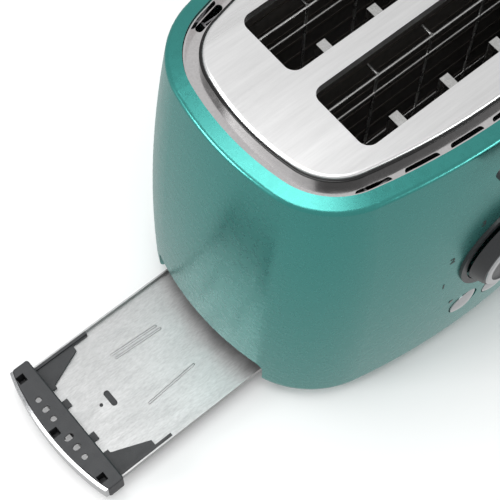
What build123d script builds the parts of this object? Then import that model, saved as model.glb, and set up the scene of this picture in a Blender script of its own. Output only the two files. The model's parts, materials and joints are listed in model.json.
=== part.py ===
from build123d import *
import math
import os

# A two-slot pop-up toaster with its crumb tray pulled out. Millimetres.
# X runs along the bread slots and the tray pulls out towards -X. The controls face -Y.
# Z = 0 is the surface that the rubber feet stand on. X = Y = 0 is the middle of the casing.

# Casing outline at the top crease: two end arcs, two side arcs and four corner arcs, all tangent.
HALF_LENGTH = 117.8
HALF_DEPTH = 73.9
END_RADIUS = 145.6
SIDE_RADIUS = 347.0
CORNER_RADIUS = 42.8

# Casing heights and the way its wall swells towards the bottom
SHELL_BOTTOM = 7.4
FLARE_BOTTOM = 12.0
CREASE = 195.0
FLARE = 10.6
BULGE = 3.6
WALL = 1.6
BOTTOM_ROUND = 8.0
CREASE_ROUND = 2.5
BAND_WIDTH = 7.4
BAND_RISE = 1.4

# Top: vent channel and raised plate
CHANNEL_FLOOR = 190.2
PLATE_INSET = 15.8
PLATE_TOP = 197.0
SHEET = 0.8
SEAL_THICKNESS = 1.2
VENT_LENGTH = 17.5
VENT_WIDTH = 3.6
VENT_INSET = 10.6
VENT_PLACES = (30.5, 53.8, 77.2)
VENT_MIDDLE_LENGTH = 33.0

# Bread slots
SLOT_HALF_LENGTH = 70.6
SLOT_WIDTH = 36.0
SLOT_GAP = 11.5
SLOT_CORNER = 5.5
SLOT_RIM_DEPTH = 5.0
SLOT_Y = (SLOT_GAP + SLOT_WIDTH) / 2

# Oven: end frames, heater boards and reflectors
FRAME_X = 79.5
FRAME_HALF_DEPTH = 56.0
FRAME_BOTTOM = 26.0
FRAME_TOP = 188.0
BOARD_Y = 48.0
BOARD_BOTTOM = 44.0
BOARD_TOP = 184.0
REFLECTOR_Y = 54.0

# Bread guides and lifters
GUIDE_WIRE = 1.6
GUIDE_PITCH = 33.0
GUIDE_WIRE_INSET = 3.5
GUIDE_STRIP_INSET = 10.5
GUIDE_TOP = 178.0
GUIDE_LEVELS = (178.0, 163.5, 116.0, 66.0)
WIRE_HUNG_LEVELS = (178.0, 66.0)
STRIP_HUNG_LEVELS = (116.0, 66.0)
STRIP_TOP = 186.0
STRIP_WIDTH = 5.0
STRIP_PLACES = (-45.0, -15.0, 15.0, 45.0)
GUIDE_TRAVEL = 3.0
LEVER_TRAVEL = 38.0
LIFTER_BOTTOM = 86.0
LIFTER_TOP = 98.0
LIFTER_SHIFT = (GUIDE_STRIP_INSET - GUIDE_WIRE_INSET) / 2
LIFTER_REACH = 6.0
ARM_X = 85.0

# Carriage
ROD_X = 40.0
ROD_Y = -65.0
ROD_RADIUS = 2.5
ROD_RUN = 0.1
BRACKET_BOTTOM = 44.0
BRACKET_TOP = 150.0
BLOCK_BOTTOM = 104.0
BLOCK_TOP = 126.0
LEVER_Z = 185.0
GRIP_HALF_WIDTH = 31.0
GRIP_HEIGHT = 11.0

# Controls on the front wall
KNOB_Z = 93.0
BEZEL_RADIUS = 33.5
BEZEL_RISE = 1.6
BARREL_RADIUS = 29.6
RING_RADIUS = 26.0
CAP_RADIUS = 22.6
KNOB_FRONT = -93.4
BUTTON_CIRCLE = 53.8
BUTTON_ANGLES = (-25.4, 0.0, 25.4)
BUTTON_RADIUS = 8.7
BUTTON_DOME = 22.0
BUTTON_TRAVEL = 1.0
SWITCH_DEPTH = 2.6
BOARD_FRONT = -74.0

# Crumb tray, drawn pulled out by TRAY_OUT
TRAY_OUT = 100.0
TRAY_Z = 9.6
TRAY_HALF_WIDTH = 38.0
TRAY_BACK = 105.0
HANDLE_TOP = 20.6
HANDLE_BOTTOM = 8.8
HANDLE_HALF_WIDTH = 41.0
HANDLE_BACK = -111.0
OPENING_HALF_WIDTH = 42.5
OPENING_TOP = 31.0

GLAND_PLACE = (60.0, 24.0)
GLAND_WIDTH = 12.6
GLAND_HEIGHT = 10.6
CORD_BORE = 3.8
BASE_BOTTOM = 7.0
BASE_TOP = 8.6
FOOT_PLACES = {"foot_front_left": (-66, -58), "foot_front_right": (66, -58),
               "foot_rear_left": (-66, 58), "foot_rear_right": (66, 58)}


# ---- Helpers ---------------------------------------------------------------

def block(x0, x1, y0, y1, z0, z1):
    """A box given by its limits."""
    middle = Pos((x0 + x1) / 2, (y0 + y1) / 2, (z0 + z1) / 2)
    return middle * Box(x1 - x0, y1 - y0, z1 - z0)


def cylinder(start, end, radius):
    """A round bar from start to end."""
    start, end = Vector(*start), Vector(*end)
    plane = Plane(origin=start, z_dir=end - start)
    return plane * Cylinder(radius, (end - start).length, align=(Align.CENTER, Align.CENTER, Align.MIN))


def cone(start, end, radius, end_radius):
    """A tapering round bar from start to end."""
    start, end = Vector(*start), Vector(*end)
    plane = Plane(origin=start, z_dir=end - start)
    low = (Align.CENTER, Align.CENTER, Align.MIN)
    return plane * Cone(radius, end_radius, (end - start).length, align=low)


def corner_centre():
    """The centre of the corner arc that touches both the end arc and the side arc, as positive x and y."""
    end, side = Vector(HALF_LENGTH - END_RADIUS, 0), Vector(0, HALF_DEPTH - SIDE_RADIUS)
    to_end, to_side = END_RADIUS - CORNER_RADIUS, SIDE_RADIUS - CORNER_RADIUS
    apart = (side - end).length
    along = (to_end ** 2 - to_side ** 2 + apart ** 2) / (2 * apart)
    aside = math.sqrt(to_end ** 2 - along ** 2)
    unit = (side - end) / apart
    found = [end + unit * along + Vector(-unit.Y, unit.X) * s * aside for s in (1, -1)]
    return next(p for p in found if p.X > 0 and p.Y > 0)


CORNER = corner_centre()
END_ANGLE = math.degrees(math.atan2(CORNER.Y, CORNER.X - (HALF_LENGTH - END_RADIUS)))
SIDE_ANGLE = math.degrees(math.atan2(CORNER.X, CORNER.Y - (HALF_DEPTH - SIDE_RADIUS)))


def outline(offset, z):
    """The casing's plan outline, grown by offset, as a face at height z."""
    arcs = []
    for turn, (x, y) in ((0, (1, 1)), (180, (-1, -1))):
        end = (x * (HALF_LENGTH - END_RADIUS), 0)
        side = (0, y * (HALF_DEPTH - SIDE_RADIUS))
        first, last = (x * CORNER.X, y * CORNER.Y), (-x * CORNER.X, y * CORNER.Y)
        corner_sweep = 90 - END_ANGLE - SIDE_ANGLE
        arcs.append(CenterArc(end, END_RADIUS + offset, turn - END_ANGLE, 2 * END_ANGLE))
        arcs.append(CenterArc(first, CORNER_RADIUS + offset, turn + END_ANGLE, corner_sweep))
        arcs.append(CenterArc(side, SIDE_RADIUS + offset, turn + 90 - SIDE_ANGLE, 2 * SIDE_ANGLE))
        arcs.append(CenterArc(last, CORNER_RADIUS + offset, turn + 90 + SIDE_ANGLE, corner_sweep))
    return Pos(0, 0, z) * make_face(Curve() + arcs)


def slab(offset, z0, z1):
    """A plate of the casing's outline, grown by offset, between two heights."""
    return extrude(outline(offset, z0), z1 - z0)


def wall_offset(z):
    """How far the casing's wall stands outside the crease's outline at height z."""
    t = (z - FLARE_BOTTOM) / (CREASE - FLARE_BOTTOM)
    return FLARE * (1 - t) + 4 * BULGE * t * (1 - t)


def level_edges(solid, z):
    """The edges of a solid that lie at height z."""
    return solid.edges().filter_by(lambda e: abs(e.bounding_box().max.Z - z) < 0.01
                                   and abs(e.bounding_box().min.Z - z) < 0.01)


def swell(offset, bottom, top):
    """The swelling body of the casing between two heights, its wall moved out by offset."""
    steps = 6
    levels = [bottom + (top - bottom) * k / steps for k in range(steps + 1)]
    return loft([outline(wall_offset(z) + offset, z) for z in levels])


def upright_slot(half_length, half_width, corner, z0, z1, x=0.0, y=0.0):
    """A round-cornered prism standing on the plan."""
    return extrude(Pos(x, y, z0) * RectangleRounded(2 * half_length, 2 * half_width, corner), z1 - z0)


def one(shape):
    """The single solid of a shape."""
    solids = shape.solids()
    assert len(solids) == 1, len(solids)
    return solids[0]


# ---- Casing ----------------------------------------------------------------

def casing_outside():
    """The casing's outer form, with its rounded bottom edge, top band and crease."""
    body = swell(0, SHELL_BOTTOM, CREASE)
    body = fillet(level_edges(body, SHELL_BOTTOM), BOTTOM_ROUND)
    band = loft([outline(0, CREASE), outline(-BAND_WIDTH, CREASE + BAND_RISE)], ruled=True)
    body = body + band
    return fillet(level_edges(body, CREASE), CREASE_ROUND)


def casing_inside():
    """The hollow inside the casing, open through the bottom and inside the top band."""
    hollow = swell(-WALL, SHELL_BOTTOM + WALL, CREASE - WALL)
    hollow = fillet(level_edges(hollow, SHELL_BOTTOM + WALL), BOTTOM_ROUND - WALL)
    below = slab(1.6, SHELL_BOTTOM - 2, SHELL_BOTTOM + 4)
    above = slab(-BAND_WIDTH, CREASE - 8, CREASE + 6)
    return hollow + below + above


def button_centre(angle):
    """The x and z of a button's centre."""
    turn = math.radians(angle)
    return BUTTON_CIRCLE * math.sin(turn), KNOB_Z - BUTTON_CIRCLE * math.cos(turn)


def lens_centres():
    """The x and z of each indicator, up and to the left of its button."""
    return [(x - 10.0, z + 12.0) for x, z in map(button_centre, BUTTON_ANGLES)]


def tray_opening():
    """The round-cornered opening in the casing's left end."""
    profile = Plane.YZ * RectangleRounded(2 * OPENING_HALF_WIDTH, 2 * OPENING_TOP, 6)
    return Pos(-160, 0, 0) * extrude(profile, 80)


def body_shell(outside):
    """The painted casing with its openings."""
    shell = outside - casing_inside() - tray_opening()
    shell -= cylinder((0, -100, KNOB_Z), (0, -60, KNOB_Z), 11)
    for angle in BUTTON_ANGLES:
        x, z = button_centre(angle)
        shell -= cylinder((x, -100, z), (x, -60, z), BUTTON_RADIUS + 0.5)
    for x, z in lens_centres():
        shell -= cylinder((x, -100, z), (x, -60, z), 1.5)
    shell -= block(-2.5, 2.5, -100, -60, LEVER_Z - LEVER_TRAVEL - 5.5, LEVER_Z + 5.5)
    shell -= gland_form(60, 100, 0.2)
    return one(shell)


def vent_ring():
    """The bright channel between the casing's band and the raised plate, with its row of air slots."""
    outer = -BAND_WIDTH - 0.3
    inner = -PLATE_INSET + 0.2
    floor = slab(outer, CHANNEL_FLOOR - SHEET, CHANNEL_FLOOR)
    floor -= slab(inner - 6, CHANNEL_FLOOR - 2, CHANNEL_FLOOR + 1)
    wall = slab(outer, CHANNEL_FLOOR, CREASE) - slab(outer - SHEET, CHANNEL_FLOOR - 1, CREASE + 1)
    ring = floor + wall
    for side in (-1, 1):
        for x, length in vent_slots():
            ring -= air_slot(x, length, side)
    return one(ring)


def vent_slots():
    """The place along X and the length of each air slot on one long side."""
    sides = [(s * x, VENT_LENGTH) for x in VENT_PLACES for s in (-1, 1)]
    return [(0.0, VENT_MIDDLE_LENGTH)] + sides


def air_slot(x, length, side):
    """A round-ended cutter that follows the channel at x on one long side."""
    radius = SIDE_RADIUS - VENT_INSET
    turn = math.asin(x / radius)
    y = HALF_DEPTH - SIDE_RADIUS + radius * math.cos(turn)
    shape = SlotOverall(length, VENT_WIDTH, rotation=-side * math.degrees(turn))
    return extrude(Pos(x, side * y, CHANNEL_FLOOR - 3) * shape, 4)


def top_plate():
    """The raised satin plate with its two bread slots and their turned-down rims."""
    plate = slab(-PLATE_INSET, CHANNEL_FLOOR, PLATE_TOP)
    plate = fillet(level_edges(plate, PLATE_TOP), 1.6)
    plate -= slab(-PLATE_INSET - SHEET, CHANNEL_FLOOR - 1, PLATE_TOP - SHEET)
    for side in (-1, 1):
        plate += upright_slot(SLOT_HALF_LENGTH + SHEET, SLOT_WIDTH / 2 + SHEET, SLOT_CORNER + SHEET,
                              PLATE_TOP - SLOT_RIM_DEPTH, PLATE_TOP - SHEET / 2, y=side * SLOT_Y)
    for side in (-1, 1):
        plate -= upright_slot(SLOT_HALF_LENGTH, SLOT_WIDTH / 2, SLOT_CORNER, 180, 200, y=side * SLOT_Y)
    return one(plate)


def plate_seal():
    """The glossy black band round the plate's side, standing in the channel."""
    band = slab(-PLATE_INSET + SEAL_THICKNESS, CHANNEL_FLOOR, PLATE_TOP - 1.4)
    band = fillet(level_edges(band, PLATE_TOP - 1.4), 0.5)
    return one(band - slab(-PLATE_INSET, CHANNEL_FLOOR - 1, PLATE_TOP))


def base_plate():
    """The bottom cover, with vent slots, screw holes and a raised edge."""
    plate = slab(1.2, BASE_BOTTOM, BASE_TOP)
    for x in range(-80, 81, 20):
        for side in (-1, 1):
            plate -= upright_slot(5, 1.6, 1.5, BASE_BOTTOM - 1, BASE_TOP + 1, x=x, y=side * 30)
            plate -= upright_slot(5, 1.6, 1.5, BASE_BOTTOM - 1, BASE_TOP + 1, x=x, y=side * 10)
    for x, y in screw_places():
        plate -= cylinder((x, y, BASE_BOTTOM - 1), (x, y, BASE_TOP + 1), 1.85)
    return one(plate)


def tray_surround():
    """The dark wall inside the left end that leaves a slot for the tray and its handle."""
    wall = slab(8.0, 12.5, 36) - slab(6.0, 12, 37)
    wall &= block(-150, -90, -52, 52, 12, 37)
    return one(wall - block(-150, -90, -OPENING_HALF_WIDTH, OPENING_HALF_WIDTH, 12, HANDLE_TOP + 1.4))


def rubber_foot(x, y):
    """One foot under the base plate."""
    foot = cone((x, y, 0), (x, y, BASE_BOTTOM), 7.0, 8.0)
    return one(fillet(level_edges(foot, 0), 1.0))


def gland_form(y0, y1, grow):
    """The lead bush's outline, flat-sided so that it can't turn, grown and drawn from y0 to y1."""
    x, z = GLAND_PLACE
    seat = RectangleRounded(GLAND_WIDTH + 2 * grow, GLAND_HEIGHT + 2 * grow, 2.0 + grow)
    return extrude(Plane.XZ.offset(-y1) * Pos(x, z) * seat, y1 - y0)


def cord_gland(outside):
    """The bush in the back wall that a mains lead would come through, its flange fitted to the wall."""
    x, z = GLAND_PLACE
    wall = HALF_DEPTH + wall_offset(z) - x * x / (2 * SIDE_RADIUS)
    bush = gland_form(wall - 8, wall + 2.4, 0)
    flange = gland_form(wall - 3, wall + 2.4, 2.3) - outside
    flange = max(flange.solids(), key=lambda s: s.center().Y)
    return one(bush + flange - cylinder((x, wall - 9, z), (x, wall + 4, z), CORD_BORE))


# ---- Oven ------------------------------------------------------------------

def guide_planes():
    """Each guide's slot side, its plane's y and the way it moves when bread is lowered."""
    planes = {}
    for slot, middle in (("front", -SLOT_Y), ("rear", SLOT_Y)):
        near, far = middle - SLOT_WIDTH / 2, middle + SLOT_WIDTH / 2
        planes[slot + "_slot_strip_guide"] = (near + GUIDE_STRIP_INSET, 1)
        planes[slot + "_slot_wire_guide"] = (far - GUIDE_WIRE_INSET, -1)
    return planes


def lifter_places():
    """The y of each bread lifter, midway between its slot's two guides."""
    return [side * SLOT_Y + LIFTER_SHIFT for side in (-1, 1)]


def hung_levels(name):
    """The heights at which a guide's long cross wires pass through the end frames."""
    return STRIP_HUNG_LEVELS if "strip" in name else WIRE_HUNG_LEVELS


def end_frame(side):
    """A sheet end wall of the oven, with slots for the guides and lifters, and its feet."""
    x0, x1 = sorted((side * FRAME_X, side * (FRAME_X + 1)))
    wall = block(x0, x1, -FRAME_HALF_DEPTH, FRAME_HALF_DEPTH, FRAME_BOTTOM, FRAME_TOP)
    foot_x0, foot_x1 = sorted((side * FRAME_X, side * (FRAME_X + 13)))
    for end in (-1, 1):
        y0, y1 = sorted((end * 44, end * FRAME_HALF_DEPTH))
        wall += block(x0, x1, y0, y1, BASE_TOP, FRAME_BOTTOM)
        wall += block(foot_x0, foot_x1, y0, y1, BASE_TOP, BASE_TOP + 1.2)
    for name, (y, way) in guide_planes().items():
        for z in hung_levels(name):
            slot_y0, slot_y1 = sorted((y - way * 1.3, y + way * (GUIDE_TRAVEL + 1.3)))
            wall -= block(x0 - 1, x1 + 1, slot_y0, slot_y1, z - 1.3, z + 1.3)
    for y in lifter_places():
        wall -= block(x0 - 1, x1 + 1, y - 2, y + 2, LIFTER_BOTTOM - LEVER_TRAVEL - 2, LIFTER_TOP + 2)
    for x, y in screw_places():
        wall -= cylinder((x, y, BASE_TOP - 1), (x, y, BASE_TOP + 3), 1.85)
    return one(wall)


def screw_places():
    """Where the base plate is screwed to the end frames' feet."""
    return [(sx * 87, sy * 50) for sx in (-1, 1) for sy in (-1, 1)]


def base_screws():
    """Four pan-head screws up through the base plate."""
    screws = []
    for x, y in screw_places():
        screw = cylinder((x, y, BASE_BOTTOM - 2.0), (x, y, BASE_BOTTOM), 3.4)
        screw += cylinder((x, y, BASE_BOTTOM - 0.5), (x, y, BASE_TOP + 6), 1.8)
        slot = block(x - 0.5, x + 0.5, y - 2.2, y + 2.2, BASE_BOTTOM - 3, BASE_BOTTOM - 1.2)
        cross = block(x - 2.2, x + 2.2, y - 0.5, y + 0.5, BASE_BOTTOM - 3, BASE_BOTTOM - 1.2)
        screws.append(one(screw - slot - cross))
    return Compound(screws)


def heater_board(y):
    """A mica board with notched ends for its windings."""
    board = block(-FRAME_X, FRAME_X, y - 0.4, y + 0.4, BOARD_BOTTOM, BOARD_TOP)
    for x in range(-60, 61, 40):
        board -= block(x - 9, x + 9, y - 1, y + 1, BOARD_BOTTOM + 12, BOARD_BOTTOM + 15)
    return one(board)


def heater_ribbon(y, faces):
    """The resistance ribbon that runs back and forth across a board's heated faces."""
    runs = []
    for face in faces:
        y0, y1 = sorted((y + face * 0.4, y + face * 0.7))
        for k in range(9):
            z = BOARD_BOTTOM + 22 + k * 13.5
            runs.append(one(block(-72, 72, y0, y1, z, z + 1.6)))
    return Compound(runs)


def reflector(side):
    """The steel sheet behind an outer heater board."""
    y0, y1 = sorted((side * REFLECTOR_Y, side * (REFLECTOR_Y + 0.8)))
    return one(block(-FRAME_X, FRAME_X, y0, y1, 34, FRAME_TOP))


def wire_guide(y, way):
    """A welded bread guide of round wire, whose upright wires hook outwards at the top."""
    half = GUIDE_WIRE / 2
    guide = None
    for k in range(-2, 3):
        x = k * GUIDE_PITCH
        upright = cylinder((x, y, GUIDE_LEVELS[-1] - 4), (x, y, GUIDE_TOP + half), half)
        hook = cylinder((x, y, GUIDE_TOP), (x, y - way * 6.5, GUIDE_TOP + 0.4), half)
        guide = upright + hook if guide is None else guide + upright + hook
    for z in GUIDE_LEVELS:
        reach = 83.0 if z in WIRE_HUNG_LEVELS else 74.0
        guide += cylinder((-reach, y + way * 0.5, z), (reach, y + way * 0.5, z), half * 0.9)
    return one(guide)


def strip_guide(y, way):
    """A bread guide of flat upright strips, bent outwards at the top, on round cross wires."""
    guide = None
    for x in STRIP_PLACES:
        x0, x1 = x - STRIP_WIDTH / 2, x + STRIP_WIDTH / 2
        y0, y1 = sorted((y, y - way * 0.7))
        strip = block(x0, x1, y0, y1, GUIDE_LEVELS[-1] - 4, STRIP_TOP)
        tab_y0, tab_y1 = sorted((y, y - way * 12.0))
        strip += block(x0, x1, tab_y0, tab_y1, STRIP_TOP - 0.7, STRIP_TOP)
        guide = strip if guide is None else guide + strip
    for z in STRIP_HUNG_LEVELS:
        guide += cylinder((-83, y, z), (83, y, z), GUIDE_WIRE / 2 * 0.9)
    return one(guide)


def bread_lifter(y):
    """The notched rack that carries the bread, with seats bent alternately to each side."""
    rack = block(-ARM_X, ARM_X, y - 0.75, y + 0.75, LIFTER_BOTTOM, LIFTER_TOP)
    for k in range(-4, 5):
        x = k * 14.0
        way = 1 if k % 2 else -1
        y0, y1 = sorted((y, y + way * LIFTER_REACH))
        rack += block(x - 5, x + 5, y0, y1, LIFTER_TOP - 1.5, LIFTER_TOP)
    for k in range(-5, 5):
        x = k * 14.0 + 7
        rack -= block(x - 1.2, x + 1.2, y - 2, y + 2, LIFTER_TOP - 4, LIFTER_TOP + 1)
    return one(rack)


# ---- Carriage and lever ----------------------------------------------------

def slide_bracket():
    """The sheet bracket on the front reflector that holds the two guide rods."""
    back = -REFLECTOR_Y - 0.8
    bracket = block(-52, 52, back - 1.2, back, BRACKET_BOTTOM, BRACKET_TOP)
    for z in (BRACKET_BOTTOM, BRACKET_TOP - 1.2):
        bracket += block(-52, 52, ROD_Y - 3.8, back, z, z + 1.2)
    for x in (-ROD_X, ROD_X):
        bracket -= cylinder((x, ROD_Y, BRACKET_BOTTOM - 2), (x, ROD_Y, BRACKET_TOP + 2), ROD_RADIUS)
    bracket -= block(20, 35, back - 2, back + 1, 70, 120)
    bracket -= block(-35, -20, back - 2, back + 1, 70, 120)
    return one(bracket)


def guide_rod(side):
    """A bright rod that the carriage slides on."""
    x = side * ROD_X
    return one(cylinder((x, ROD_Y, BRACKET_BOTTOM - 1), (x, ROD_Y, BRACKET_TOP + 1), ROD_RADIUS))


def return_spring(side):
    """The space that a return spring's coils fill, round its rod and under the carriage."""
    x = side * ROD_X
    low, high = BRACKET_BOTTOM + 1.2, BLOCK_BOTTOM
    coil = cylinder((x, ROD_Y, low), (x, ROD_Y, high), 4.2)
    return one(coil - cylinder((x, ROD_Y, low - 1), (x, ROD_Y, high + 1), ROD_RADIUS + 0.4))


def carriage_block():
    """The moulded slider with a bore for each rod."""
    slider = block(-47, 47, ROD_Y - 4.5, ROD_Y + 4.5, BLOCK_BOTTOM, BLOCK_TOP)
    slider = fillet(slider.edges().filter_by(Axis.Z), 1.5)
    for x in (-ROD_X, ROD_X):
        slider -= cylinder((x, ROD_Y, BLOCK_BOTTOM - 1), (x, ROD_Y, BLOCK_TOP + 1), ROD_RADIUS + ROD_RUN)
    slider -= block(-32, 32, ROD_Y - 3, ROD_Y + 3, BLOCK_BOTTOM + 6, BLOCK_TOP + 1)
    return one(slider)


def lifter_yoke():
    """The U-shaped strip that joins both lifters to the slider, round the outside of the oven."""
    bar_y = ROD_Y + 4.5
    yoke = block(-ARM_X - 1.2, ARM_X + 1.2, bar_y, bar_y + 1.2, BLOCK_BOTTOM, BLOCK_BOTTOM + 8)
    for side in (-1, 1):
        x0, x1 = sorted((side * ARM_X, side * (ARM_X + 1.2)))
        yoke += block(x0, x1, bar_y, lifter_places()[1] + 5, LIFTER_BOTTOM, BLOCK_BOTTOM + 8)
    return one(yoke)


def lever_arm():
    """The strip that rises from the slider and passes out through the casing's slot."""
    front = ROD_Y - 4.5
    arm = block(-8, 8, front - 1.5, front, BLOCK_BOTTOM + 4, LEVER_Z + 3)
    return one(arm + block(-1, 1, -90, front, LEVER_Z - 3, LEVER_Z + 3))


def lever_handle(arm):
    """The wide grip on the front of the lever arm."""
    grip = RectangleRounded(2 * GRIP_HALF_WIDTH, GRIP_HEIGHT, 5.0)
    profile = Plane.XZ.offset(81.0) * Pos(0, LEVER_Z) * grip
    grip = extrude(profile, 16)
    front = grip.faces().sort_by(Axis.Y)[0]
    grip = fillet(front.edges(), 2.4)
    return one(grip - arm)


def keeper_plate():
    """The steel plate under the slider that the magnet holds."""
    return one(block(-14, 14, ROD_Y - 4, ROD_Y + 4, BLOCK_BOTTOM - 1.2, BLOCK_BOTTOM))


def magnet_top():
    """The height of the magnet's pole faces, just under the lowered keeper."""
    return BLOCK_BOTTOM - 1.2 - LEVER_TRAVEL - 0.3


def magnet_core():
    """The U-shaped core, standing on its stem."""
    top = magnet_top()
    core = block(-12, 12, ROD_Y - 3, ROD_Y + 3, BRACKET_BOTTOM + 1.2, top)
    return one(core - block(-7, 7, ROD_Y - 4, ROD_Y + 4, BRACKET_BOTTOM + 5, top + 1))


def magnet_coils():
    """The two windings on the core's legs."""
    coils = []
    for side in (-1, 1):
        x = side * 9.5
        low, high = BRACKET_BOTTOM + 5.4, magnet_top() - 2
        coil = upright_slot(4.6, 5.6, 2.0, low, high, x=x, y=ROD_Y)
        hole = block(x - 2.5, x + 2.5, ROD_Y - 3, ROD_Y + 3, low - 1, high + 1)
        coils.append(one(coil - hole))
    return Compound(coils)


# ---- Controls --------------------------------------------------------------

def control_stand():
    """The upright that carries the control board."""
    stand = block(-30, 30, BOARD_FRONT + 1.6, BOARD_FRONT + 3.0, BASE_TOP, 60)
    return one(stand + block(-30, 30, BOARD_FRONT + 1.6, BOARD_FRONT + 12, BASE_TOP, BASE_TOP + 1.4))


def control_board():
    """The circuit board behind the front wall."""
    return one(block(-30, 30, BOARD_FRONT, BOARD_FRONT + 1.6, 26, 124))


def browning_control():
    """The rotary control on the board."""
    body = cylinder((0, BOARD_FRONT, KNOB_Z), (0, BOARD_FRONT - 4.8, KNOB_Z), 8.5)
    collar = cylinder((0, BOARD_FRONT - 4.8, KNOB_Z), (0, BOARD_FRONT - 9, KNOB_Z), 4.5)
    bore = cylinder((0, BOARD_FRONT - 3, KNOB_Z), (0, BOARD_FRONT - 10, KNOB_Z), 3.06)
    return one(body + collar - bore)


def control_shaft():
    """The shaft that the knob turns."""
    return one(cylinder((0, BOARD_FRONT - 3.2, KNOB_Z), (0, KNOB_FRONT + 4, KNOB_Z), 3.0))


def knob_bezel(outside):
    """The dark ring on the casing round the knob, fitted to the curved wall."""
    ring = cylinder((0, -70, KNOB_Z), (0, -90, KNOB_Z), BEZEL_RADIUS)
    ring -= cylinder((0, -60, KNOB_Z), (0, -95, KNOB_Z), BARREL_RADIUS + 0.5)
    ring = (ring & swell(BEZEL_RISE, SHELL_BOTTOM, CREASE)) - outside
    return max(ring.solids(), key=lambda s: s.volume)


def knob_barrel():
    """The knob's tapering body, hollow at the back, with a hub on the shaft."""
    back = -84.9
    body = cone((0, back, KNOB_Z), (0, KNOB_FRONT + 1.2, KNOB_Z), BARREL_RADIUS, RING_RADIUS + 0.8)
    body -= cone((0, back + 1, KNOB_Z), (0, KNOB_FRONT + 5, KNOB_Z), BARREL_RADIUS - 2, RING_RADIUS - 1.6)
    hub = cylinder((0, back + 0.4, KNOB_Z), (0, KNOB_FRONT + 3, KNOB_Z), 7.0)
    body += hub
    body -= cylinder((0, back + 2, KNOB_Z), (0, KNOB_FRONT + 4, KNOB_Z), 3.0)
    body -= cylinder((0, KNOB_FRONT, KNOB_Z), (0, KNOB_FRONT + 2.6, KNOB_Z), RING_RADIUS)
    return one(body)


def knob_ring():
    """The bright ring let into the knob's front."""
    ring = cylinder((0, KNOB_FRONT + 2.6, KNOB_Z), (0, KNOB_FRONT, KNOB_Z), RING_RADIUS)
    ring = chamfer(ring.faces().sort_by(Axis.Y)[0].edges(), 0.6)
    return one(ring - cylinder((0, KNOB_FRONT + 4, KNOB_Z), (0, KNOB_FRONT - 1, KNOB_Z), CAP_RADIUS))


def knob_cap():
    """The dark disc inside the ring, with a pointer groove."""
    disc = cylinder((0, KNOB_FRONT + 2.6, KNOB_Z), (0, KNOB_FRONT + 0.9, KNOB_Z), CAP_RADIUS)
    groove = block(-0.7, 0.7, KNOB_FRONT, KNOB_FRONT + 1.5, KNOB_Z + 11, KNOB_Z + 19)
    return one(disc - groove)


def button(angle):
    """A domed button cap with its flange and stem."""
    x, z = button_centre(angle)
    wall = -HALF_DEPTH - wall_offset(z) + x * x / (2 * SIDE_RADIUS)
    cap = cylinder((x, wall + 2.2, z), (x, wall - 1.8, z), BUTTON_RADIUS)
    cap &= Pos(x, wall - 1.8 + BUTTON_DOME, z) * Sphere(BUTTON_DOME)
    flange = cylinder((x, wall + 2.9, z), (x, wall + 3.9, z), BUTTON_RADIUS + 1.3)
    neck = cylinder((x, wall + 2.2, z), (x, wall + 2.9, z), BUTTON_RADIUS - 0.5)
    stem = cylinder((x, wall + 3.9, z), (x, BOARD_FRONT - SWITCH_DEPTH - BUTTON_TRAVEL - 0.2, z), 2.6)
    return one(cap + neck + flange + stem)


def button_switches():
    """The three push switches on the board behind the buttons."""
    switches = []
    for angle in BUTTON_ANGLES:
        x, z = button_centre(angle)
        body = block(x - 3, x + 3, BOARD_FRONT - 2.2, BOARD_FRONT, z - 3, z + 3)
        plunger = cylinder((x, BOARD_FRONT - 2.2, z), (x, BOARD_FRONT - SWITCH_DEPTH, z), 1.7)
        switches.append(one(body + plunger))
    return Compound(switches)


def indicator_lenses():
    """The small lenses beside the buttons."""
    lenses = []
    for x, z in lens_centres():
        wall = -HALF_DEPTH - wall_offset(z) + x * x / (2 * SIDE_RADIUS)
        lenses.append(one(cylinder((x, wall - 0.2, z), (x, wall + 4, z), 1.4)))
    return Compound(lenses)


def terminal_block():
    """The block inside the back wall where a lead would be joined to the wiring."""
    body = block(40, 80, 56, 66, BASE_TOP, 20)
    for x in (48, 60, 72):
        body -= cylinder((x, 61, 14), (x, 61, 21), 2.4)
    return one(body)


# ---- Crumb tray ------------------------------------------------------------

def end_disc(offset, z0, z1):
    """The part of a plate of the casing's outline that lies near the left end, moved out with the tray."""
    plate = slab(offset, z0, z1) & block(-150, -90, -60, 60, z0 - 1, z1 + 1)
    return Pos(-TRAY_OUT, 0, 0) * plate


def tray_rail(side):
    """The channel on the base plate that one edge of the tray slides in."""
    y0, y1 = sorted((side * 39.2, side * 40.2))
    rail = block(-104, 106, y0, y1, BASE_TOP, 15.4)
    lip_y0, lip_y1 = sorted((side * 36.2, side * 40.2))
    return one(rail + block(-104, 106, lip_y0, lip_y1, 14.4, 15.4))


def crumb_tray():
    """The shallow sheet tray with turned-up side and back edges."""
    x0, x1 = HANDLE_BACK - TRAY_OUT - 6, TRAY_BACK - TRAY_OUT
    tray = block(x0, x1, -TRAY_HALF_WIDTH, TRAY_HALF_WIDTH, TRAY_Z, TRAY_Z + SHEET)
    for side in (-1, 1):
        y0, y1 = sorted((side * (TRAY_HALF_WIDTH - SHEET), side * TRAY_HALF_WIDTH))
        tray += block(HANDLE_BACK - TRAY_OUT, x1, y0, y1, TRAY_Z, TRAY_Z + 4)
    tray += block(x1 - SHEET, x1, -TRAY_HALF_WIDTH, TRAY_HALF_WIDTH, TRAY_Z, TRAY_Z + 4)
    hole_x = HANDLE_BACK - TRAY_OUT + 22
    tray -= upright_slot(1.7, 4.9, 1.6, TRAY_Z - 1, TRAY_Z + 2, x=hole_x)
    tray -= cylinder((hole_x - 6, 0, TRAY_Z - 1), (hole_x - 6, 0, TRAY_Z + 2), 1.0)
    return one(tray)


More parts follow.
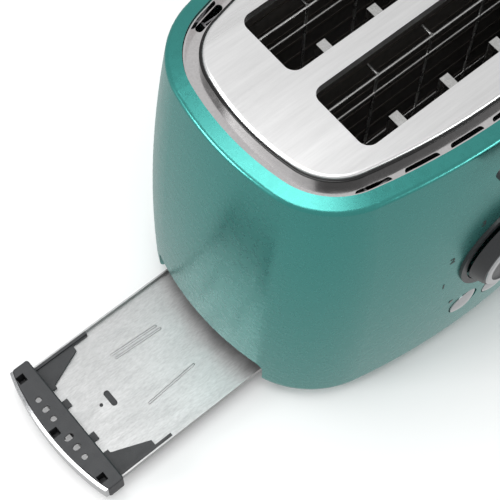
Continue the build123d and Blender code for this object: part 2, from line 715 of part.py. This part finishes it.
def tray_handle(tray):
    """The moulded handle: a curved front panel, a top with finger holes, end cheeks and side gussets."""
    back = HANDLE_BACK - TRAY_OUT
    half = HANDLE_HALF_WIDTH
    form = end_disc(8.6, HANDLE_BOTTOM, HANDLE_TOP) & block(-260, back, -half, half, 0, 40)
    form = fillet(form.edges().filter_by(Axis.Z), 1.5)
    form = fillet(level_edges(form, HANDLE_TOP), 0.9)
    hollow = end_disc(6.6, HANDLE_BOTTOM - 1, HANDLE_TOP - 1.6)
    handle = form - (hollow & block(-260, back - 1.4, -half + 3, half - 3, 0, 40))
    for y, length in zip((-19.5, -13, -6.5, 6.5, 13, 19.5), (3.4, 4.4, 5.4, 3.6, 4.4, 3.4)):
        hole = upright_slot(length / 2, 1.6, 1.59, HANDLE_TOP - 4, HANDLE_TOP + 1, x=back - 8.5, y=y)
        handle -= hole
    for y in (-34, 0, 34):
        front = back - 12.5 + y * y / (2 * END_RADIUS)
        boss = block(front - 3.3, front + 3.3, y - 3.3, y + 3.3, HANDLE_BOTTOM + 2, HANDLE_TOP - 1.2)
        handle += form & boss
        handle -= block(front - 2.3, front + 2.3, y - 2.3, y + 2.3, HANDLE_BOTTOM + 3, HANDLE_TOP + 1)
    for side in (-1, 1):
        handle += tray_gusset(side, back)
    handle += block(back - 1.5, back + 26, -8, 8, HANDLE_BOTTOM, TRAY_Z)
    for y in (-11.5, 11.5):
        handle += block(back - 1.5, back + 4.2, y - 2.3, y + 2.3, TRAY_Z + SHEET, TRAY_Z + SHEET + 1.6)
    return one(handle - tray)


def tray_gusset(side, back):
    """The stiffening wing that runs from the handle along one edge of the tray."""
    edge = TRAY_HALF_WIDTH - SHEET - 0.1
    points = [(-1.5, 0), (33.7, 0), (33.7, 2.0), (24, 2.0), (24, 5.2)]
    points += [(3.8, 13.4), (3.8, 15.4), (-1.5, 15.4)]
    corners = [(back + x, side * (edge - y)) for x, y in points]
    wing = extrude(Pos(0, 0, TRAY_Z + SHEET) * make_face(Polyline(*corners, close=True)), 2.2)
    y0, y1 = sorted((side * (edge - 1.6), side * edge))
    return wing + block(back - 1.5, back + 33.7, y0, y1, TRAY_Z + SHEET, TRAY_Z + 4.4)


def tray_trim():
    """The bright curved strip on the handle's front."""
    strip = end_disc(10.2, HANDLE_BOTTOM + 0.6, HANDLE_TOP) - end_disc(8.6, HANDLE_BOTTOM, HANDLE_TOP + 1)
    half = HANDLE_HALF_WIDTH - 0.6
    return one(strip & block(-260, -200, -half, half, 0, 40))


# ---- Assembly --------------------------------------------------------------

def build():
    """Every node's shape, by name."""
    outside = casing_outside()
    arm = lever_arm()
    tray = crumb_tray()
    nodes = {
        "body_shell": body_shell(outside),
        "vent_ring": vent_ring(),
        "top_plate": top_plate(),
        "plate_seal": plate_seal(),
        "base_plate": base_plate(),
        "base_screws": base_screws(),
        "tray_surround": tray_surround(),
        "cord_gland": cord_gland(outside),
        "terminal_block": terminal_block(),
        "end_frame_left": end_frame(-1),
        "end_frame_right": end_frame(1),
        "reflector_front": reflector(-1),
        "reflector_rear": reflector(1),
        "heater_board_front": heater_board(-BOARD_Y),
        "heater_board_centre": heater_board(0),
        "heater_board_rear": heater_board(BOARD_Y),
        "heater_ribbon_front": heater_ribbon(-BOARD_Y, (1,)),
        "heater_ribbon_centre": heater_ribbon(0, (-1, 1)),
        "heater_ribbon_rear": heater_ribbon(BOARD_Y, (-1,)),
        "bread_lifter_front": bread_lifter(lifter_places()[0]),
        "bread_lifter_rear": bread_lifter(lifter_places()[1]),
        "slide_bracket": slide_bracket(),
        "guide_rod_left": guide_rod(-1),
        "guide_rod_right": guide_rod(1),
        "return_spring_left": return_spring(-1),
        "return_spring_right": return_spring(1),
        "carriage_block": carriage_block(),
        "lifter_yoke": lifter_yoke(),
        "lever_arm": arm,
        "lever_handle": lever_handle(arm),
        "keeper_plate": keeper_plate(),
        "magnet_core": magnet_core(),
        "magnet_coils": magnet_coils(),
        "control_stand": control_stand(),
        "control_board": control_board(),
        "browning_control": browning_control(),
        "control_shaft": control_shaft(),
        "knob_bezel": knob_bezel(outside),
        "knob_barrel": knob_barrel(),
        "knob_ring": knob_ring(),
        "knob_cap": knob_cap(),
        "button_left": button(BUTTON_ANGLES[0]),
        "button_middle": button(BUTTON_ANGLES[1]),
        "button_right": button(BUTTON_ANGLES[2]),
        "button_switches": button_switches(),
        "indicator_lenses": indicator_lenses(),
        "tray_rail_front": tray_rail(-1),
        "tray_rail_rear": tray_rail(1),
        "crumb_tray": tray,
        "tray_handle": tray_handle(tray),
        "tray_trim": tray_trim(),
    }
    for name, (x, y) in FOOT_PLACES.items():
        nodes[name] = rubber_foot(x, y)
    for name, (y, way) in guide_planes().items():
        nodes[name] = (strip_guide if "strip" in name else wire_guide)(y, way)
    return nodes


os.makedirs("parts", exist_ok=True)
for node, shape in build().items():
    export_step(shape, f"parts/{node}.step")
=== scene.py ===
import json
import math

import bpy
from mathutils import Matrix, Vector
from mathutils.bvhtree import BVHTree


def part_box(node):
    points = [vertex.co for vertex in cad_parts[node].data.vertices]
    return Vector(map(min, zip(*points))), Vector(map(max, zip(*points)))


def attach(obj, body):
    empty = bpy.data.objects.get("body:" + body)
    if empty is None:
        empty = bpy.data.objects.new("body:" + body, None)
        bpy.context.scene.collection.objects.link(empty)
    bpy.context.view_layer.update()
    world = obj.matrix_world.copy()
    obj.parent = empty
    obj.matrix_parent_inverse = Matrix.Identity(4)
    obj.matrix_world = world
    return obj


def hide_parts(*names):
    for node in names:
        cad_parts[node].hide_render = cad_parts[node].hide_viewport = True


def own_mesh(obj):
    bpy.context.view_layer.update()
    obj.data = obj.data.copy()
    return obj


# A two-slot toaster with its crumb tray pulled out. Metres, in the CAD frame: X along the bread slots,
# the tray towards -X, the controls towards -Y, Z up from the surface that the feet stand on.

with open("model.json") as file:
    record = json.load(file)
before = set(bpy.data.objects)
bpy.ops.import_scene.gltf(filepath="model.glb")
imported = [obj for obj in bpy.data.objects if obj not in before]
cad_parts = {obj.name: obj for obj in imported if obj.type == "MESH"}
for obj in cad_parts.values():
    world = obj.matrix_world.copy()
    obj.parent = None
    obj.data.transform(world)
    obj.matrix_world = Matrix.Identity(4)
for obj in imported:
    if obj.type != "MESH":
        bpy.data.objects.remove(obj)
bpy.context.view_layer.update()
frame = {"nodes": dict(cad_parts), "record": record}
MM = 0.001

# Camera, where the product picture was taken from
CAMERA_TARGET = Vector((-0.10853, -0.01393, 0.1053))
CAMERA_AZIMUTH = math.radians(-42.45)
CAMERA_ELEVATION = math.radians(64.66)
CAMERA_ROLL = math.radians(2.75)
CAMERA_DISTANCE = 0.66885
CAMERA_LENS = 101.86

# Sizes of the pieces that are made here
BEAD_WIDTH = 1.5 * MM
BEAD_HEIGHT = 0.45 * MM
BEAD_FLAT = 0.02 * MM
BEAD_LEVELS = 5
TRAY_SHEET = 0.8 * MM
NUMERAL_CIRCLE = 43 * MM
NUMERAL_HEIGHT = 4.6 * MM
NUMERAL_STEP = 34.0
NUMERAL_SUNK = 0.02 * MM
NUMERAL_PROUD = 0.14 * MM
NUMERAL_WEIGHT = 0.05 * MM
RAY_START_Y = -200 * MM
SPRING_TURNS = 12
SPRING_WIRE = 0.45 * MM
SPRING_STEPS_PER_TURN = 20
SPRING_SIDES = 8

# Grain in the materials: how much coarser the patches of roughness are than the fine grain
PATCH_RATIO = 9
PATCH_DETAIL = 3.0

# Lighting
SURROUNDINGS_STRENGTH = 0.62
SOFT_BOXES = {
    "overhead": dict(place=(-0.35, 0.10, 1.5), size=1.0, power=13),
    "left": dict(place=(-1.2, 0.45, 0.45), size=0.4, power=7),
    "front": dict(place=(0.50, -1.3, 0.45), size=0.4, power=4),
}
LIGHT_TARGET = Vector((0, 0, 0.1))
FLOOR_HALF_WIDTH = 6


# ---- Materials ---------------------------------------------------------------

def new_material(name):
    """A material with its own nodes, and its shader."""
    material = bpy.data.materials.new(name)
    material.use_nodes = True
    return material, material.node_tree.nodes["Principled BSDF"]


def add_node(material, kind, **values):
    """A node of that kind, with its inputs set by name."""
    node = material.node_tree.nodes.new(kind)
    for key, value in values.items():
        node.inputs[key.replace("_", " ")].default_value = value
    return node


def link(material, source, target):
    material.node_tree.links.new(source, target)


def grain(material, scale, detail=4.0, stretch=(1, 1, 1)):
    """Noise in the piece's own coordinates, with scale features to the metre.

    A stretch below 1 draws them out along that axis.
    """
    place = add_node(material, "ShaderNodeTexCoord")
    mapping = add_node(material, "ShaderNodeMapping", Scale=stretch)
    noise = add_node(material, "ShaderNodeTexNoise", Scale=scale, Detail=detail, Roughness=0.6)
    link(material, place.outputs["Object"], mapping.inputs["Vector"])
    link(material, mapping.outputs["Vector"], noise.inputs["Vector"])
    return noise.outputs["Fac"]


def spread(material, value, low, high):
    """A noise value brought into a range."""
    node = add_node(material, "ShaderNodeMapRange")
    for key, number in (("From Min", 0.3), ("From Max", 0.7), ("To Min", low), ("To Max", high)):
        node.inputs[key].default_value = number
    link(material, value, node.inputs["Value"])
    return node.outputs["Result"]


def two_colours(material, value, dark, light):
    """A colour that goes from dark to light with a noise value."""
    ramp = add_node(material, "ShaderNodeValToRGB")
    ramp.color_ramp.elements[0].position = 0.3
    ramp.color_ramp.elements[1].position = 0.7
    ramp.color_ramp.elements[0].color = (*dark, 1)
    ramp.color_ramp.elements[1].color = (*light, 1)
    link(material, value, ramp.inputs["Fac"])
    return ramp.outputs["Color"]


def bump(material, shader, value, depth):
    """A surface relief of that depth in metres."""
    node = add_node(material, "ShaderNodeBump", Strength=1.0, Distance=depth)
    link(material, value, node.inputs["Height"])
    link(material, node.outputs["Normal"], shader.inputs["Normal"])


def surface(name, dark, light, rough, metallic=0.0, scale=400.0, depth=0.00002, stretch=(1, 1, 1)):
    """A material whose colour, roughness and relief all vary with fine grain."""
    material, shader = new_material(name)
    value = grain(material, scale, stretch=stretch)
    patches = grain(material, scale / PATCH_RATIO, PATCH_DETAIL, stretch)
    link(material, two_colours(material, value, dark, light), shader.inputs["Base Color"])
    link(material, spread(material, patches, *rough), shader.inputs["Roughness"])
    bump(material, shader, value, depth)
    shader.inputs["Metallic"].default_value = metallic
    return material, shader


def teal_paint():
    """Satin metallic paint with a fine flake."""
    material, shader = surface("teal_paint", (0.040, 0.255, 0.230), (0.050, 0.300, 0.272), (0.25, 0.31),
                               metallic=0.84, scale=2600.0, depth=0.000003)
    shader.inputs["Coat Weight"].default_value = 0.20
    shader.inputs["Coat Roughness"].default_value = 0.20
    return material


def tray_steel():
    """Plain rolled sheet with a fine grain and faint marks along the rolling direction."""
    return surface("tray_steel", (0.36, 0.36, 0.36), (0.47, 0.47, 0.47), (0.36, 0.48),
                   metallic=0.85, scale=1500.0, depth=0.000006, stretch=(0.25, 1, 1))[0]


def metal(name, dark, light, rough, scale=900.0, depth=0.000003, stretch=(1, 1, 1)):
    return surface(name, dark, light, rough, metallic=1.0, scale=scale, depth=depth, stretch=stretch)[0]


def plastic(name, dark, light, rough, scale=1800.0, depth=0.00001):
    return surface(name, dark, light, rough, scale=scale, depth=depth)[0]


MATERIALS = {
    "teal_paint": teal_paint(),
    "polished_steel": metal("polished_steel", (0.70, 0.68, 0.68), (0.80, 0.78, 0.78), (0.10, 0.18)),
    "satin_steel": metal("satin_steel", (0.82, 0.82, 0.82), (0.90, 0.90, 0.90), (0.26, 0.34), 700.0, 0.000003,
                         (0.06, 1, 1)),
    "chrome": metal("chrome", (0.52, 0.53, 0.54), (0.60, 0.61, 0.62), (0.05, 0.09), 500.0, 0.000002),
    "zinc": metal("zinc", (0.42, 0.42, 0.42), (0.58, 0.58, 0.58), (0.28, 0.4)),
    "galvanised": metal("galvanised", (0.16, 0.16, 0.16), (0.26, 0.26, 0.27), (0.38, 0.55), 160.0, 0.00001),
    "guide_steel": metal("guide_steel", (0.50, 0.50, 0.49), (0.66, 0.66, 0.65), (0.22, 0.34)),
    "dark_steel": metal("dark_steel", (0.10, 0.10, 0.10), (0.18, 0.17, 0.16), (0.40, 0.55)),
    "spring_steel": metal("spring_steel", (0.42, 0.42, 0.42), (0.55, 0.55, 0.55), (0.22, 0.32)),
    "iron": metal("iron", (0.22, 0.22, 0.22), (0.32, 0.31, 0.30), (0.42, 0.6), 700.0, 0.00001),
    "copper": metal("copper", (0.45, 0.17, 0.08), (0.62, 0.26, 0.12), (0.28, 0.4)),
    "ribbon": metal("ribbon", (0.13, 0.12, 0.11), (0.22, 0.19, 0.17), (0.42, 0.6)),
    "tray_steel": tray_steel(),
    "mica": plastic("mica", (0.030, 0.028, 0.026), (0.060, 0.054, 0.048), (0.45, 0.6), 300.0, 0.00002),
    "handle_plastic": plastic("handle_plastic", (0.022, 0.023, 0.025), (0.034, 0.035, 0.038), (0.46, 0.56)),
    "knob_plastic": plastic("knob_plastic", (0.020, 0.021, 0.023), (0.030, 0.031, 0.033), (0.30, 0.38)),
    "base_plastic": plastic("base_plastic", (0.010, 0.010, 0.011), (0.018, 0.018, 0.019), (0.5, 0.62)),
    "black_plastic": plastic("black_plastic", (0.012, 0.012, 0.013), (0.022, 0.022, 0.023), (0.42, 0.55)),
    "white_plastic": plastic("white_plastic", (0.62, 0.61, 0.58), (0.72, 0.71, 0.68), (0.4, 0.5)),
    "board_green": plastic("board_green", (0.012, 0.075, 0.030), (0.022, 0.11, 0.045), (0.28, 0.4)),
    # seal_gloss is a painted reflection: near-black gloss for the ring under the top plate's edge, a dark
    # band that stands in for the dark surroundings mirrored in the plate's chrome side
    "seal_gloss": plastic("seal_gloss", (0.004, 0.004, 0.004), (0.008, 0.008, 0.008), (0.08, 0.14), 300.0,
                          0.000002),
    "lens": plastic("lens", (0.012, 0.030, 0.028), (0.020, 0.045, 0.040), (0.10, 0.16), 300.0, 0.000002),
    "rubber": plastic("rubber", (0.014, 0.014, 0.014), (0.026, 0.026, 0.026), (0.68, 0.8), 1200.0, 0.00003),
}


def paint_nodes():
    """Gives each CAD node the material that the record's slot names."""
    for row in frame["record"]["subparts"]:
        mesh = frame["nodes"][row["node"]].data
        mesh.materials.clear()
        mesh.materials.append(MATERIALS[row["material_slot"]])


# ---- Pieces ------------------------------------------------------------------

def new_piece(name, points, faces, body, slot, smooth=True):
    """A mesh object that rides on a body and takes a slot's finish."""
    mesh = bpy.data.meshes.new(name)
    mesh.from_pydata([tuple(p) for p in points], [], faces)
    mesh.validate()
    mesh.polygons.foreach_set("use_smooth", [smooth] * len(mesh.polygons))
    mesh.materials.append(MATERIALS[slot])
    piece = bpy.data.objects.new(name, mesh)
    bpy.context.scene.collection.objects.link(piece)
    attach(piece, body)
    return piece


def loft(sections, closed_ends=True):
    """Points and faces of rings of equal size joined in order."""
    size = len(sections[0])
    points = [p for ring in sections for p in ring]
    faces = []
    for k in range(len(sections) - 1):
        for i in range(size):
            j = (i + 1) % size
            faces.append((k * size + i, k * size + j, (k + 1) * size + j, (k + 1) * size + i))
    if closed_ends:
        faces.append(tuple(reversed(range(size))))
        faces.append(tuple(range(len(points) - size, len(points))))
    return points, faces


def tray_bead(name, start, end):
    """A long low bead pressed up out of the tray's sheet."""
    low, high = Vector(start), Vector(end)
    along = (high - low).normalized()
    aside = Vector((-along.y, along.x, 0))
    sections = []
    for level in range(BEAD_LEVELS + 1):
        lean = math.radians(90 * level / BEAD_LEVELS)
        half = BEAD_WIDTH / 2 * math.cos(lean) + BEAD_FLAT
        rise = BEAD_HEIGHT * math.sin(lean)
        ring = []
        for centre, facing in ((high, -90), (low, 90)):
            for k in range(13):
                turn = math.radians(facing + 15 * k)
                ring.append(centre + along * half * math.cos(turn) + aside * half * math.sin(turn)
                            + Vector((0, 0, rise)))
        sections.append(ring)
    return new_piece(name, *loft(sections), "tray", "tray_steel")


def tray_beads():
    """The pressed beads that stiffen the tray near its handle."""
    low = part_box("crumb_tray")[0]
    top = low.z + TRAY_SHEET
    edge = low.x
    spans = {
        "left_inner": (44, 15.8, 72, 14.2),
        "left_outer": (43, 18.6, 71, 17.0),
        "right": (42, -15, 73, -13),
    }
    for name, (x0, y0, x1, y1) in spans.items():
        tray_bead("tray_bead_" + name, (edge + x0 * MM, y0 * MM, top), (edge + x1 * MM, y1 * MM, top))


def wall_tree():
    """The casing's surface, for finding where a ray along Y meets it."""
    mesh = frame["nodes"]["body_shell"].data
    return BVHTree.FromPolygons([v.co for v in mesh.vertices], [p.vertices for p in mesh.polygons])


def numeral(tree, text, x, z):
    """A printed numeral that lies on the casing's front wall."""
    font = bpy.data.curves.new("numeral_" + text, "FONT")
    font.body = text
    font.size = NUMERAL_HEIGHT * 1.4
    font.align_x = "CENTER"
    font.align_y = "CENTER"
    font.offset = NUMERAL_WEIGHT
    font.extrude = (NUMERAL_PROUD + NUMERAL_SUNK) / 2
    source = bpy.data.objects.new("numeral_source", font)
    bpy.context.scene.collection.objects.link(source)
    bpy.context.view_layer.update()
    flat = bpy.data.meshes.new_from_object(source)
    points = []
    for vertex in flat.vertices:
        start = Vector((x + vertex.co.x, RAY_START_Y, z + vertex.co.y))
        hit = tree.ray_cast(start, Vector((0, 1, 0)))[0]
        points.append(hit - Vector((0, (NUMERAL_PROUD - NUMERAL_SUNK) / 2 + vertex.co.z, 0)))
    faces = [tuple(p.vertices) for p in flat.polygons]
    bpy.data.objects.remove(source)
    return new_piece("dial_numeral_" + text, points, faces, "casing", "black_plastic", smooth=False)


def dial_numerals():
    """The browning numbers printed round the knob, none of them under the lever's slot."""
    tree = wall_tree()
    low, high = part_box("knob_barrel")
    centre = (low + high) / 2
    for k, place in enumerate((-3, -2, -1, 1, 2, 3)):
        turn = math.radians(place * NUMERAL_STEP)
        numeral(tree, str(k + 1), centre.x + NUMERAL_CIRCLE * math.sin(turn),
                centre.z + NUMERAL_CIRCLE * math.cos(turn))


def return_spring(side):
    """A close coil of wire round a guide rod, in the space that its CAD solid holds."""
    node = "return_spring_" + side
    low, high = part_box(node)
    x, y = (low.x + high.x) / 2, (low.y + high.y) / 2
    radius = (high.x - low.x) / 2 - SPRING_WIRE
    bottom, top = low.z + SPRING_WIRE, high.z - SPRING_WIRE
    steps = SPRING_TURNS * SPRING_STEPS_PER_TURN
    sections = []
    for k in range(steps + 1):
        turn = 2 * math.pi * SPRING_TURNS * k / steps
        out = Vector((math.cos(turn), math.sin(turn), 0))
        centre = Vector((x, y, bottom + (top - bottom) * k / steps)) + out * radius
        ring = []
        for i in range(SPRING_SIDES):
            lean = 2 * math.pi * i / SPRING_SIDES
            rise = Vector((0, 0, SPRING_WIRE * math.sin(lean)))
            ring.append(centre + out * SPRING_WIRE * math.cos(lean) + rise)
        sections.append(ring)
    piece = new_piece("coil_spring_" + side, *loft(sections), "casing", "spring_steel")
    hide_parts(node)
    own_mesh(piece)


# ---- Stage -------------------------------------------------------------------

def floor():
    """A large plain pale floor, which the shiny pieces do not mirror."""
    mesh = bpy.data.meshes.new("floor")
    half = FLOOR_HALF_WIDTH
    corners = [(-half, -half, 0), (half, -half, 0), (half, half, 0), (-half, half, 0)]
    mesh.from_pydata(corners, [], [(0, 1, 2, 3)])
    material, shader = new_material("floor")
    shader.inputs["Base Color"].default_value = (0.90, 0.90, 0.90, 1)
    shader.inputs["Roughness"].default_value = 0.7
    mesh.materials.append(material)
    piece = bpy.data.objects.new("floor", mesh)
    piece.visible_glossy = False
    bpy.context.scene.collection.objects.link(piece)


def soft_light(name, place, size, power):
    """A square soft box that faces the toaster."""
    data = bpy.data.lights.new(name, "AREA")
    data.shape = "SQUARE"
    data.size = size
    data.energy = power
    light = bpy.data.objects.new(name, data)
    light.location = place
    aim = LIGHT_TARGET - Vector(place)
    light.rotation_mode = "QUATERNION"
    light.rotation_quaternion = aim.to_track_quat("-Z", "Y")
    bpy.context.scene.collection.objects.link(light)


def lights():
    """Even white surroundings and three soft boxes."""
    world = bpy.data.worlds.new("studio")
    world.use_nodes = True
    background = world.node_tree.nodes["Background"]
    background.inputs["Color"].default_value = (1, 1, 1, 1)
    background.inputs["Strength"].default_value = SURROUNDINGS_STRENGTH
    bpy.context.scene.world = world
    bpy.context.scene.view_settings.view_transform = "Standard"
    for name, box in SOFT_BOXES.items():
        soft_light(name, **box)


def camera():
    """The camera, aimed and rolled as the product picture's."""
    a, e = CAMERA_AZIMUTH, CAMERA_ELEVATION
    back = Vector((math.sin(a) * math.cos(e), -math.cos(a) * math.cos(e), math.sin(e)))
    level = Vector((math.cos(a), math.sin(a), 0))
    upright = back.cross(level)
    right = level * math.cos(CAMERA_ROLL) + upright * math.sin(CAMERA_ROLL)
    up = upright * math.cos(CAMERA_ROLL) - level * math.sin(CAMERA_ROLL)
    data = bpy.data.cameras.new("camera")
    data.lens = CAMERA_LENS
    data.sensor_width = 36
    data.clip_start = 0.01
    eye = bpy.data.objects.new("camera", data)
    turn = Matrix((right, up, back)).transposed().to_4x4()
    eye.matrix_world = Matrix.Translation(CAMERA_TARGET + back * CAMERA_DISTANCE) @ turn
    bpy.context.scene.collection.objects.link(eye)
    bpy.context.scene.camera = eye


paint_nodes()
tray_beads()
dial_numerals()
for spring_side in ("left", "right"):
    return_spring(spring_side)
floor()
lights()
camera()
